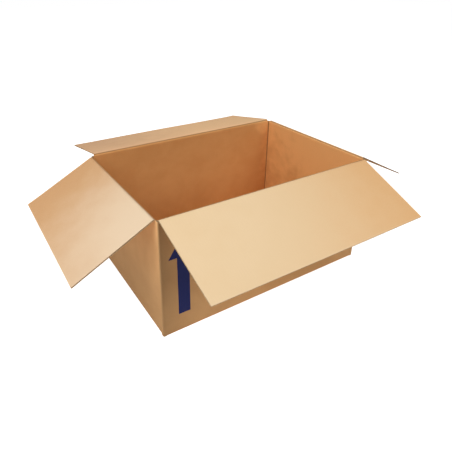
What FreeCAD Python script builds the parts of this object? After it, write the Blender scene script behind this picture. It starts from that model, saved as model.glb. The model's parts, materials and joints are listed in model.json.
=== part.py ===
import FreeCAD, Part
import math
import os
from collections import namedtuple

# Open shipping carton folded from one corrugated sheet, with four top flaps hanging open.
# Sizes are in millimetres. X runs along the long side, Y along the short side, Z is up.
# The origin is the middle of the box on the floor.

# Outside of the box
box_length = 600.0
box_width = 400.0
box_height = 300.0

# Corrugated board and how it folds
board = 3.0
inner_fold_radius = 0.5
crushed_edge_radius = 1.2

# Slots that part the flaps at the corners, measured past the round of the upright fold
long_slot_clearance = 4.0
short_slot_clearance = 6.0
slot_overrun = 0.5
bottom_slot_height = 1.0
slot_play = 0.5

# How far two of the top flaps are set over along their wall: the front flap towards the left,
# where it runs on over the round of the fold, and the right flap towards the back
front_flap_shift = 6.5
right_flap_shift = 5.0

# Flaps
meeting_gap = 4.0
bottom_meeting_gap = 1.0
stacking_gap = 0.3
flap_corner_radius = 2.5

# How far each open top flap hangs below level, in degrees
front_droop_angle = 25.0
back_droop_angle = 10.7
left_droop_angle = 28.2
right_droop_angle = 26.7

# Glue tab that closes the sheet at the front right corner
tab_width = 35.0
tab_end_angle = 15.0
tab_end_clearance = 6.0
joint_inset = 0.5

# Arrow printed on the front wall
arrow_from_left_edge = 54.1
arrow_foot_height = 49.0
arrow_shaft_width = 29.3
arrow_shaft_length = 149.6
arrow_head_width = 69.0
arrow_head_length = 53.0
ink_thickness = 0.12

# Levels and lengths that follow from the sizes above
half_length = box_length / 2
half_width = box_width / 2
fold_radius = board + inner_fold_radius
long_fold_level = box_height
short_fold_level = box_height - board - stacking_gap
rim_start = short_fold_level - 2 * board
floor_top = 2 * board
base_start = board + fold_radius
slot_top = short_fold_level - slot_overrun
flap_depth = (box_width - meeting_gap) / 2
bottom_flap_depth = (box_width - bottom_meeting_gap) / 2
long_panel_end = half_length - fold_radius - long_slot_clearance
short_panel_end = half_width - fold_radius - short_slot_clearance

# A wall as if it faced +Y: the turn that brings it to its side, its distance from the middle,
# where its flat and its flaps end along X, how far its top flap is set over, its fold level,
# its bottom flap's underside and how far its top flap hangs below level
Wall = namedtuple("Wall", "turn distance flat_end flap_end shift fold_level underside droop_angle")
long_wall = dict(
    distance=half_width,
    flat_end=half_length - fold_radius,
    flap_end=long_panel_end,
    fold_level=long_fold_level,
    underside=0.0,
)
short_wall = dict(
    distance=half_length,
    flat_end=half_width - fold_radius,
    flap_end=short_panel_end,
    fold_level=short_fold_level,
    underside=board,
)
walls = {
    "back": Wall(turn=0, shift=0.0, droop_angle=back_droop_angle, **long_wall),
    "left": Wall(turn=90, shift=0.0, droop_angle=left_droop_angle, **short_wall),
    "front": Wall(turn=180, shift=front_flap_shift, droop_angle=front_droop_angle, **long_wall),
    "right": Wall(turn=270, shift=-right_flap_shift, droop_angle=right_droop_angle, **short_wall),
}


def point(x, y, z):
    """A point in space."""
    return FreeCAD.Vector(x, y, z)


def block(x0, x1, y0, y1, z0, z1):
    """A box between two opposite corners."""
    return Part.makeBox(x1 - x0, y1 - y0, z1 - z0, point(x0, y0, z0))


def strip(outline, start, end):
    """An outline drawn in the Y-Z plane, drawn out along X from start to end."""
    face = Part.Face(Part.Wire(outline))
    face.translate(point(start, 0, 0))
    return face.extrude(point(end - start, 0, 0))


def polygon(corners):
    """Straight edges through (y, z) corners, closed back to the first."""
    points = [point(0, y, z) for y, z in corners]
    return Part.makePolygon(points + points[:1]).Edges


def edge_along_x(shape, y, z):
    """The edge of a shape that runs along X at this (y, z)."""
    for edge in shape.Edges:
        ends = [vertex.Point for vertex in edge.Vertexes]
        if all(abs(p.y - y) < 1e-6 and abs(p.z - z) < 1e-6 for p in ends):
            return edge
    raise ValueError("no edge there")


def placed(shape, wall, level=0.0):
    """A shape made for a wall facing +Y, raised to a level and turned round to its own side."""
    shape.translate(point(0, wall.distance, level))
    shape.rotate(point(0, 0, 0), point(0, 0, 1), wall.turn)
    return shape


def quarter_fold(centre_x, centre_y, turn):
    """A folded upright edge: a quarter of a tube, one board thick."""
    base = point(centre_x, centre_y, bottom_slot_height)
    up = point(0, 0, 1)
    height = slot_top - bottom_slot_height
    outside = Part.makeCylinder(fold_radius, height, base, up, 90)
    inside = Part.makeCylinder(inner_fold_radius, height, base, up, 90)
    fold = outside.cut(inside)
    fold.rotate(base, up, turn)
    return fold


def folded_walls():
    """The four walls with their upright folds, between the ends of the slots."""
    levels = (bottom_slot_height, slot_top)
    fold_x = half_length - fold_radius
    fold_y = half_width - fold_radius
    glued_y = -half_width + board
    joint_fold_y = glued_y + fold_radius
    front = block(-fold_x, half_length - joint_inset, -half_width, glued_y, *levels)
    back = block(-fold_x, fold_x, half_width - board, half_width, *levels)
    left = block(-half_length, -half_length + board, -fold_y, fold_y, *levels)
    right = block(half_length - board, half_length, joint_fold_y, fold_y, *levels)
    tab_root = block(long_panel_end, fold_x, glued_y, glued_y + board, *levels)
    folds = [
        quarter_fold(fold_x, fold_y, 0),
        quarter_fold(-fold_x, fold_y, 90),
        quarter_fold(-fold_x, -fold_y, 180),
        quarter_fold(fold_x, joint_fold_y, 270),
    ]
    return front.multiFuse([back, left, right, tab_root] + folds)


def glue_tab():
    """The tab at the end of the right wall, glued flat inside the front wall."""
    root = half_length - fold_radius
    tip = root - tab_width
    low = floor_top + tab_end_clearance
    high = rim_start - tab_end_clearance
    taper = tab_width * math.tan(math.radians(tab_end_angle))
    corners = [(root, low), (root, high), (tip, high - taper), (tip, low + taper)]
    points = [point(x, -half_width + board, z) for x, z in corners]
    face = Part.Face(Part.makePolygon(points + points[:1]))
    return face.extrude(point(0, board, 0))


def flap_roots(wall):
    """The parts of a wall that its two flaps take up, above its rim and below its base."""
    flat_end = min(wall.flap_end + wall.shift, wall.flat_end)
    top = block(-wall.flap_end + wall.shift, flat_end, -board, 0, rim_start, box_height)
    bottom = block(-wall.flap_end, wall.flap_end, -board, 0, 0, base_start)
    return [placed(top, wall), placed(bottom, wall)]


def wall_rim(wall):
    """The top of a wall facing +Y, sloped to the fold line and crushed at its inner edge."""
    start = -wall.flap_end + wall.shift
    end = wall.flap_end + wall.shift
    inner = wall.fold_level - board
    corners = [(0, rim_start), (0, wall.fold_level), (-board, inner), (-board, rim_start)]
    rim = strip(polygon(corners), start, end)
    rim = rim.makeFillet(crushed_edge_radius, [edge_along_x(rim, -board, inner)])
    if end > wall.flat_end:
        rim = rim.cut(block(wall.flat_end, end, -board, 0, rim_start, slot_top))
    return rim


def bottom_flap(wall):
    """A closed bottom flap of a wall facing +Y, with the fold that joins it to the wall."""
    underside = wall.underside
    fold_level = underside + fold_radius
    slant = math.sqrt(0.5)
    outer_arc = Part.Arc(
        point(0, 0, fold_level),
        point(0, -fold_radius + fold_radius * slant, fold_level - fold_radius * slant),
        point(0, -fold_radius, underside),
    )
    inner_arc = Part.Arc(
        point(0, -fold_radius, underside + board),
        point(0, -fold_radius + inner_fold_radius * slant, fold_level - inner_fold_radius * slant),
        point(0, -board, fold_level),
    )
    top = base_start + board
    lines = [
        ((0, top), (0, fold_level)),
        ((-fold_radius, underside), (-bottom_flap_depth, underside)),
        ((-bottom_flap_depth, underside), (-bottom_flap_depth, underside + board)),
        ((-bottom_flap_depth, underside + board), (-fold_radius, underside + board)),
        ((-board, fold_level), (-board, top)),
        ((-board, top), (0, top)),
    ]
    edges = [Part.makeLine(point(0, *a), point(0, *b)) for a, b in lines]
    edges += [outer_arc.toShape(), inner_arc.toShape()]
    return strip(Part.__sortEdges__(edges), -wall.flap_end, wall.flap_end)


def top_flap(wall):
    """An open flap of a wall facing +Y, its fold line on the X axis."""
    start = -wall.flap_end + wall.shift + slot_play
    end = wall.flap_end + wall.shift - slot_play
    corners = [(0, 0), (flap_depth, 0), (flap_depth, board), (board, board)]
    flap = strip(polygon(corners), start, end)
    flap = flap.makeFillet(crushed_edge_radius, [edge_along_x(flap, board, board)])
    free_corners = [
        edge
        for edge in flap.Edges
        if all(abs(vertex.Point.y - flap_depth) < 1e-6 for vertex in edge.Vertexes)
        and abs(edge.Vertexes[0].Point.x - edge.Vertexes[1].Point.x) < 1e-6
    ]
    flap = flap.makeFillet(flap_corner_radius, free_corners)
    flap.rotate(point(0, 0, 0), point(1, 0, 0), -wall.droop_angle)
    return flap


def box_body():
    """The folded sheet without its four top flaps."""
    ring = folded_walls()
    pieces = [glue_tab()]
    for wall in walls.values():
        ring = ring.cut(flap_roots(wall))
        pieces += [placed(wall_rim(wall), wall), placed(bottom_flap(wall), wall)]
    return ring.multiFuse(pieces).removeSplitter()


def printed_arrow():
    """The plain upright arrow, as a film of ink on the front wall."""
    middle = -half_length + arrow_from_left_edge
    shaft = arrow_shaft_width / 2
    barb = arrow_head_width / 2
    neck = arrow_foot_height + arrow_shaft_length
    corners = [
        (middle - shaft, arrow_foot_height),
        (middle + shaft, arrow_foot_height),
        (middle + shaft, neck),
        (middle + barb, neck),
        (middle, neck + arrow_head_length),
        (middle - barb, neck),
        (middle - shaft, neck),
    ]
    points = [point(x, -half_width, z) for x, z in corners]
    face = Part.Face(Part.makePolygon(points + points[:1]))
    return face.extrude(point(0, -ink_thickness, 0))


os.makedirs("parts", exist_ok=True)
box_body().exportStep("parts/box_body.step")
for side, wall in walls.items():
    placed(top_flap(wall), wall, wall.fold_level).exportStep(f"parts/flap_{side}.step")
printed_arrow().exportStep("parts/printed_arrow.step")
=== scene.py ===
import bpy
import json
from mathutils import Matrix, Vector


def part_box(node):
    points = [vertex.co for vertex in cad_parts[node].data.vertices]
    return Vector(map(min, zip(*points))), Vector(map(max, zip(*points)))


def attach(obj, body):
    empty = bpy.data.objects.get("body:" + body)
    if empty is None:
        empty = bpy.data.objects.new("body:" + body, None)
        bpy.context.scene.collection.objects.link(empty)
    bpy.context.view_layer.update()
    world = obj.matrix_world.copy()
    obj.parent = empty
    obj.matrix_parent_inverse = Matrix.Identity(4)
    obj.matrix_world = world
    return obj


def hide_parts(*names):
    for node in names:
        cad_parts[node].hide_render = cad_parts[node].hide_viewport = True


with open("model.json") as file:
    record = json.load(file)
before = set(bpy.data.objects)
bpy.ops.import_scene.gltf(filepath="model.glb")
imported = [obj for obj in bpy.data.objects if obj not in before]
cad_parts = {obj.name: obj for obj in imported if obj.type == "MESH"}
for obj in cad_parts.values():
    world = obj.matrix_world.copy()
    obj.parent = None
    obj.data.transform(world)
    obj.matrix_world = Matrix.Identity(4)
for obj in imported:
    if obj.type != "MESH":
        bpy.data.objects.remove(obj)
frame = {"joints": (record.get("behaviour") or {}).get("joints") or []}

"""Looks of an open shipping carton folded from one sheet of corrugated board.

The body is drawn as the die-cut blank that it is folded from: blocks of one sheet, folded up
and welded along their shared edges. The top flaps show the board's three layers at their cut
edges. Sizes come from the frame, in metres.
"""

import json
import logging
import math
from dataclasses import dataclass, field
from enum import Enum
from typing import Callable, Sequence

import bpy
import numpy as np
from mathutils import Matrix, Vector

log = logging.getLogger("carton")
logging.basicConfig(level=logging.INFO, format="%(message)s")

# Width and height of the photograph in pixels
IMAGE_SIZE = 452

# A millimetre, and a length too small to matter, in metres
MM = 0.001
HAIR = 1e-6

# Decimals of a metre to which positions in one list are told apart
MERGE_DECIMALS = 9

# Places in a metre that welding tells apart, which are 0.01 mm each
WELD_PLACES = 1e5

# Faces that meet at a larger angle than this show a sharp edge
SHARP_ANGLE = math.radians(38.0)


class Side(Enum):
    """The four walls, each with the turn that brings a wall facing +Y round to its side."""

    BACK = 0
    LEFT = 90
    FRONT = 180
    RIGHT = 270

    @property
    def label(self) -> str:
        """The side's name in lower case, as the frame's nodes and bodies spell it."""
        return self.name.lower()

    @property
    def is_long(self) -> bool:
        """Whether it is one of the two long walls, whose flaps close on top."""
        return self in (Side.FRONT, Side.BACK)


class Layer(Enum):
    """Material slots of a sheet: its outer face, its inner face and its cut edge."""

    OUTER = 0
    INNER = 1
    EDGE = 2


@dataclass(frozen=True)
class Board:
    """Corrugated board: a wavy medium between two flat liners."""

    thickness: float = 3.0 * MM
    liner: float = 0.35 * MM
    medium: float = 0.25 * MM
    flute_pitch: float = 6.4 * MM
    inner_fold_radius: float = 0.5 * MM
    crease_start: float = 0.35 * MM
    crease_reach: float = 4.4 * MM
    crease_thickness: float = 0.3 * MM
    crease_points: int = 9

    @property
    def fold_radius(self) -> float:
        """Outside radius of a folded edge."""
        return self.thickness + self.inner_fold_radius

    @property
    def crease_slope(self) -> np.ndarray:
        """Distances from a crease over which the board swells from crushed to full."""
        return self.crease_start + self.crease_reach * np.linspace(0.0, 1.0, self.crease_points)

    def pinch(self, distance: np.ndarray) -> np.ndarray:
        """Board thickness near a crease: a slope with a rounded shoulder, from crushed to full.

        The slope is a little under 45 degrees, so that a closed flap clears the wall's rim.

        Args:
            distance: how far each point lies from the crease line.

        Returns:
            The thickness there.
        """
        share = np.clip((distance - self.crease_start) / self.crease_reach, 0.0, 1.0)
        rise = 1.5 * share - 0.5 * share**3
        return self.crease_thickness + (self.thickness - self.crease_thickness) * rise


@dataclass(frozen=True)
class Panel:
    """One wall with its flaps, as if it faced +Y: X along the wall, Y outwards, Z up.

    Its flaps reach as far either way along the wall, but the top one is set over by a shift.
    """

    side: Side
    reach: float
    shift: float
    distance: float
    fold_level: float
    underside: float
    droop: float

    @property
    def start(self) -> float:
        """Where the top flap starts along the wall."""
        return self.shift - self.reach

    @property
    def end(self) -> float:
        """Where the top flap ends along the wall."""
        return self.shift + self.reach

    @property
    def turn(self) -> np.ndarray:
        """The 3 x 3 turn about Z from a wall facing +Y to this side."""
        return np.array(Matrix.Rotation(math.radians(self.side.value), 3, "Z"))

    def place(self, points: np.ndarray) -> np.ndarray:
        """Moves points from the wall's own frame to the carton's.

        Args:
            points: an array that ends in x, y, z, with y = 0 on the wall's outer face.

        Returns:
            The points in the carton's frame.
        """
        return (points + np.array([0.0, self.distance, 0.0])) @ self.turn.T


@dataclass(frozen=True)
class Carton:
    """Sizes of the whole box, read from the frame."""

    board: Board
    half_length: float
    half_width: float
    long_fold: float
    short_fold: float
    droops: dict[str, float]
    long_slot_clearance: float = 4.0 * MM
    short_slot_clearance: float = 6.0 * MM
    slot_overrun: float = 0.5 * MM
    slot_bottom: float = 1.0 * MM
    slot_play: float = 0.5 * MM
    front_flap_shift: float = 6.5 * MM
    right_flap_shift: float = 5.0 * MM
    meeting_gap: float = 4.0 * MM
    bottom_meeting_gap: float = 1.0 * MM
    joint_inset: float = 0.5 * MM
    tab_width: float = 35.0 * MM
    tab_taper: float = math.radians(15.0)
    tab_clearance: float = 6.0 * MM

    @classmethod
    def from_frame(cls) -> "Carton":
        """Reads the box's sizes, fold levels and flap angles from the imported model.

        Returns:
            The carton's sizes.
        """
        _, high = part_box("box_body")
        joints = {joint["child"]: joint for joint in frame["joints"]}
        droops = {
            side.label: math.radians(joints[f"{side.label}_flap"]["range_deg"][1] - 180.0)
            for side in Side
        }
        return cls(
            board=Board(),
            half_length=high[0],
            half_width=high[1],
            long_fold=joints["front_flap"]["pos_m"][2],
            short_fold=joints["left_flap"]["pos_m"][2],
            droops=droops,
        )

    @property
    def base_start(self) -> float:
        """Level at which the straight part of every wall starts."""
        return self.board.thickness + self.board.fold_radius

    @property
    def rim_start(self) -> float:
        """Level at which every wall's rim starts."""
        return self.short_fold - 2.0 * self.board.thickness

    @property
    def slot_top(self) -> float:
        """Level at which the slots between the top flaps end."""
        return self.short_fold - self.slot_overrun

    @property
    def flap_depth(self) -> float:
        """Length of a top flap from its fold to its free edge."""
        return self.half_width - self.meeting_gap / 2.0

    @property
    def bottom_flap_depth(self) -> float:
        """Length of a bottom flap from the wall's face to its free edge."""
        return self.half_width - self.bottom_meeting_gap / 2.0

    def panel(self, side: Side) -> Panel:
        """The wall on one side, with the reach of its flaps.

        Args:
            side: which wall.

        Returns:
            The wall's panel.
        """
        board = self.board
        droop = self.droops[side.label]
        shifts = {Side.FRONT: self.front_flap_shift, Side.RIGHT: -self.right_flap_shift}
        shift = shifts.get(side, 0.0)
        if side.is_long:
            reach = self.half_length - board.fold_radius - self.long_slot_clearance
            return Panel(side, reach, shift, self.half_width, self.long_fold, 0.0, droop)
        reach = self.half_width - board.fold_radius - self.short_slot_clearance
        return Panel(side, reach, shift, self.half_length, self.short_fold, board.thickness, droop)


# Positions close to an end, as multiples of the first, and the share of a length they may take
GRADED_STEPS = np.array([1.0, 3.0, 7.0])
GRADED_SHARE = 0.4


def graded(start: float, end: float, step: float, edge: float = 1.5 * MM) -> np.ndarray:
    """Positions from start to end, about a step apart, with closer ones near both ends.

    Args:
        start: first position.
        end: last position.
        step: spacing in the middle.
        edge: distance of the first inner position from each end.

    Returns:
        The rising positions.
    """
    length = end - start
    near = edge * GRADED_STEPS
    near = near[near < GRADED_SHARE * length]
    inset = near[-1] if near.size else 0.0
    count = max(2, int(round((length - 2.0 * inset) / step)) + 1)
    middle = np.linspace(inset, length - inset, count)
    close = near[:-1]
    return start + np.unique(np.concatenate([[0.0], close, middle, length - close, [length]]))


def merged(*parts: np.ndarray) -> np.ndarray:
    """The positions of several lists as one rising list, without repeats.

    Args:
        parts: the lists.

    Returns:
        The rising positions.
    """
    return np.unique(np.round(np.concatenate(parts), MERGE_DECIMALS))


def arch(place: np.ndarray, start: float, end: float) -> np.ndarray:
    """A parabola over a stretch: 0 at and past both its ends, 1 in its middle.

    Args:
        place: positions.
        start: where the stretch starts.
        end: where it ends.

    Returns:
        The parabola's height at each position.
    """
    return np.clip((place - start) * (end - place) * 4.0 / (end - start) ** 2, 0.0, 1.0)


def nearness(distance: np.ndarray, reach: float) -> np.ndarray:
    """How near something is: 1 at no distance, falling in a straight line to 0 at its reach.

    Args:
        distance: how far away each point is.
        reach: distance from which on it is 0.

    Returns:
        The nearness of each point.
    """
    return np.clip(1.0 - distance / reach, 0.0, 1.0)


# The sines of a ripple: each one's height, its radians a metre along x and y, and how much of
# the seed shifts it
RIPPLE_SINES = (
    (1.0, 9.0, 4.0, 1.0),
    (0.7, 17.0, -11.0, 2.3),
    (0.5, 5.0, 23.0, 4.1),
    (0.35, 37.0, 29.0, 1.0),
)


def ripple(x: np.ndarray, y: np.ndarray, seed: float) -> np.ndarray:
    """A slow uneven wave between about -1 and 1: half the sum of four crossed sines.

    Args:
        x: positions one way, in metres.
        y: positions the other way, in metres.
        seed: shifts the pattern, so that no two faces match.

    Returns:
        The wave's height at each position.
    """
    sines = [tall * np.sin(a * x + b * y + part * seed) for tall, a, b, part in RIPPLE_SINES]
    return sum(sines) / 2.0


def grid(columns: np.ndarray, rows: np.ndarray) -> tuple[np.ndarray, np.ndarray]:
    """Two grids of positions, columns x rows.

    Args:
        columns: positions one way.
        rows: positions the other way.

    Returns:
        The column positions and the row positions, spread over the grid.
    """
    return np.meshgrid(columns, rows, indexing="ij")


def cell_corners(values: np.ndarray) -> np.ndarray:
    """The values at the four corners of every cell of a grid, in order round the cell.

    Args:
        values: columns x rows, or columns x rows x parts.

    Returns:
        Cells x 4, or cells x 4 x parts.
    """
    corners = [values[:-1, :-1], values[1:, :-1], values[1:, 1:], values[:-1, 1:]]
    return np.stack(corners, axis=2).reshape(-1, 4, *values.shape[2:])


def quad_edges(quads: np.ndarray) -> np.ndarray:
    """The four edges of every quad, each from one corner to the next.

    Args:
        quads: quads x 4.

    Returns:
        Edges x 2, four for each quad.
    """
    return np.stack([quads, np.roll(quads, -1, axis=1)], axis=-1).reshape(-1, 2)


@dataclass
class Sheet:
    """A thick sheet made of blocks that are welded where their edges meet.

    Each block is a grid of points on the outer face with its partner on the inner face, its
    place on the flat blank in metres, and two values from 0 to 1: how rubbed both faces are,
    and how much painted shade lies on the inner face along a crease. Where the sheet has
    painted shading, that says how much paler or darker each point of the outer face is
    painted, as painted light and shade.
    """

    outer: list[np.ndarray] = field(default_factory=list)
    inner: list[np.ndarray] = field(default_factory=list)
    flat: list[np.ndarray] = field(default_factory=list)
    wear: list[np.ndarray] = field(default_factory=list)
    crease: list[np.ndarray] = field(default_factory=list)
    quads: list[np.ndarray] = field(default_factory=list)
    size: int = 0
    # Painted light and shade on the outer face, given as a value at each of its points
    tone: Callable[[np.ndarray], np.ndarray] | None = None

    def add(
        self,
        outer: np.ndarray,
        inner: np.ndarray,
        flat: np.ndarray,
        wear: np.ndarray,
        crease: np.ndarray,
    ) -> None:
        """Adds a block whose columns run along X and rows along Y of its own grid.

        Args:
            outer: outer face, columns x rows x 3.
            inner: inner face, the same shape.
            flat: place on the flat blank, columns x rows x 2.
            wear: how rubbed it is, columns x rows.
            crease: how much painted shade lies on it along a crease, columns x rows.
        """
        index = self.size + np.arange(wear.size).reshape(wear.shape)
        self.quads.append(cell_corners(index))
        self.outer.append(outer.reshape(-1, 3))
        self.inner.append(inner.reshape(-1, 3))
        self.flat.append(flat.reshape(-1, 2))
        self.wear.append(wear.reshape(-1))
        self.crease.append(crease.reshape(-1))
        self.size += wear.size

    def build(self, name: str, materials: list[bpy.types.Material]) -> bpy.types.Object:
        """Welds the blocks, closes every cut edge between the two faces and makes the object.

        The outer face's quads come first, then the inner face's, turned over, then a quad
        from each cut edge of the outer face to its partner on the inner face.

        Args:
            name: the object's name.
            materials: one for each Layer.

        Returns:
            The new object.
        """
        outer, inner, flat = map(np.concatenate, (self.outer, self.inner, self.flat))
        quads = np.concatenate(self.quads)
        first, joined = self.weld(outer, inner)
        points, shared = len(first), joined[quads]
        edges = quad_edges(shared)
        cut = self.is_cut(edges)
        a, b = edges[cut].T
        rim = np.stack([b, a, a + points, b + points], axis=1)
        faces = np.concatenate([shared, shared[:, ::-1] + points, rim])
        mesh = new_mesh(name, np.concatenate([outer[first], inner[first]]), faces)
        slots = np.repeat([layer.value for layer in Layer], [len(shared), len(shared), len(rim)])
        mesh.polygons.foreach_set("material_index", slots.astype(np.int32))
        rim_flat = self.rim_flat(flat[quad_edges(quads)[cut]])
        set_flat(mesh, np.concatenate([flat[quads], flat[quads[:, ::-1]], rim_flat]))
        wear, crease = [np.concatenate(part)[first] for part in (self.wear, self.crease)]
        none = np.zeros(points)
        set_values(mesh, "wear", np.concatenate([wear, wear]))
        # Painted shade along creases, on the inner face only
        set_values(mesh, "crease", np.concatenate([none, crease]))
        # Painted light and shade on the outer face, where the sheet has it
        if self.tone:
            set_values(mesh, "tone", np.concatenate([self.tone(outer[first]), none]))
        return new_object(name, mesh, materials)

    @staticmethod
    def weld(outer: np.ndarray, inner: np.ndarray) -> tuple[np.ndarray, np.ndarray]:
        """Finds the points whose outer and inner places both agree, which become one.

        Args:
            outer: points of the outer face, points x 3.
            inner: their partners on the inner face.

        Returns:
            The first of the points that become one, and for each point which one it becomes.
        """
        key = np.round(np.concatenate([outer, inner], axis=1) * WELD_PLACES).astype(np.int64)
        _, first, joined = np.unique(key, axis=0, return_index=True, return_inverse=True)
        return first, joined.reshape(-1)

    @staticmethod
    def is_cut(edges: np.ndarray) -> np.ndarray:
        """Whether each edge is a cut edge, which has a quad on one side only.

        Args:
            edges: the edges of all the quads, edges x 2.

        Returns:
            True for each cut edge.
        """
        ends = np.sort(edges, axis=1)
        _, group, count = np.unique(ends, axis=0, return_inverse=True, return_counts=True)
        return count[group.reshape(-1)] == 1

    @staticmethod
    def rim_flat(ends: np.ndarray) -> np.ndarray:
        """Places for a cut edge's quads: along the blank one way, through the board the other.

        Args:
            ends: both ends of each cut edge on the flat blank, edges x 2 x 2.

        Returns:
            A place for each corner of each quad, edges x 4 x 2.
        """
        first, second = ends[:, 0, 0], ends[:, 1, 0]
        zero, one = np.zeros_like(first), np.ones_like(first)
        corners = [(second, zero), (first, zero), (first, one), (second, one)]
        return np.stack([np.stack(corner, axis=-1) for corner in corners], axis=1)


def new_mesh(name: str, points: np.ndarray, faces: np.ndarray) -> bpy.types.Mesh:
    """A mesh of quads, smooth apart from its sharp edges.

    Args:
        name: the mesh's name.
        points: vertices x 3.
        faces: quads x 4.

    Returns:
        The mesh.
    """
    mesh = bpy.data.meshes.new(name)
    mesh.from_pydata(points.tolist(), [], faces.tolist())
    mesh.polygons.foreach_set("use_smooth", np.ones(len(faces), dtype=bool))
    mesh.set_sharp_from_angle(angle=SHARP_ANGLE)
    return mesh


def set_flat(mesh: bpy.types.Mesh, flat: np.ndarray) -> None:
    """Gives every corner of a mesh its place on the flat blank, as its UV map.

    Args:
        mesh: the mesh.
        flat: places in metres, quads x 4 x 2.
    """
    layer = mesh.uv_layers.new(name="board")
    layer.data.foreach_set("uv", flat.astype(np.float32).ravel())


def set_values(mesh: bpy.types.Mesh, name: str, values: np.ndarray) -> None:
    """Gives every vertex of a mesh a value that its material reads.

    Args:
        mesh: the mesh.
        name: the attribute's name.
        values: one number a vertex.
    """
    attribute = mesh.attributes.new(name, "FLOAT", "POINT")
    attribute.data.foreach_set("value", values.ravel().astype(np.float32))


def new_object(
    name: str, mesh: bpy.types.Mesh, materials: list[bpy.types.Material]
) -> bpy.types.Object:
    """Puts a mesh in the scene with its materials.

    Args:
        name: the object's name.
        mesh: its mesh.
        materials: its material slots in order.

    Returns:
        The object, at the origin.
    """
    for material in materials:
        mesh.materials.append(material)
    mesh.validate()
    piece = bpy.data.objects.new(name, mesh)
    bpy.context.scene.collection.objects.link(piece)
    log.info("%s: %d faces", name, len(mesh.polygons))
    return piece


@dataclass(frozen=True)
class WallTone:
    """How much darker below 0 and paler above 0 the outer paper is painted than one even brown, as
    painted light and shade.

    The left wall is painted paler with the square of the height, up to a limit, as painted light.
    The front wall has painted shade by its left fold, most so near the top, and is painted palest
    about its middle.
    """

    carton: Carton
    left_foot: float = -0.28
    left_rise: float = 2.2
    left_limit: float = 1.6
    front_even: float = 0.45
    front_middle: float = 0.4
    front_fold: float = -2.0
    fold_foot: float = 0.62
    fold_rise: float = 0.33
    fold_reach: float = 85.0 * MM
    middle_reach: float = 130.0 * MM

    def at(self, points: np.ndarray) -> np.ndarray:
        """The painted light and shade at points of the outer face.

        Args:
            points: points x 3.

        Returns:
            One value a point.
        """
        x, y, z = points.T
        radius = self.carton.board.fold_radius
        height = np.clip(z / self.carton.long_fold, 0.0, 1.0)
        from_left = x + self.carton.half_length
        on_left = nearness(from_left, radius)
        on_front = nearness(y + self.carton.half_width, radius)
        # Painted light: the left wall is painted paler towards its top and darker at its foot
        left = np.minimum(self.left_foot + self.left_rise * height**2, self.left_limit)
        # Painted shade by the front wall's left fold, deepest near the top, and painted light about
        # its middle
        by_fold = np.exp(-from_left / self.fold_reach) * (self.fold_foot + self.fold_rise * height)
        middle = np.exp(-((x / self.middle_reach) ** 2))
        front = self.front_even + self.front_fold * by_fold + self.front_middle * middle
        return on_left * left + on_front * front


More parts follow.
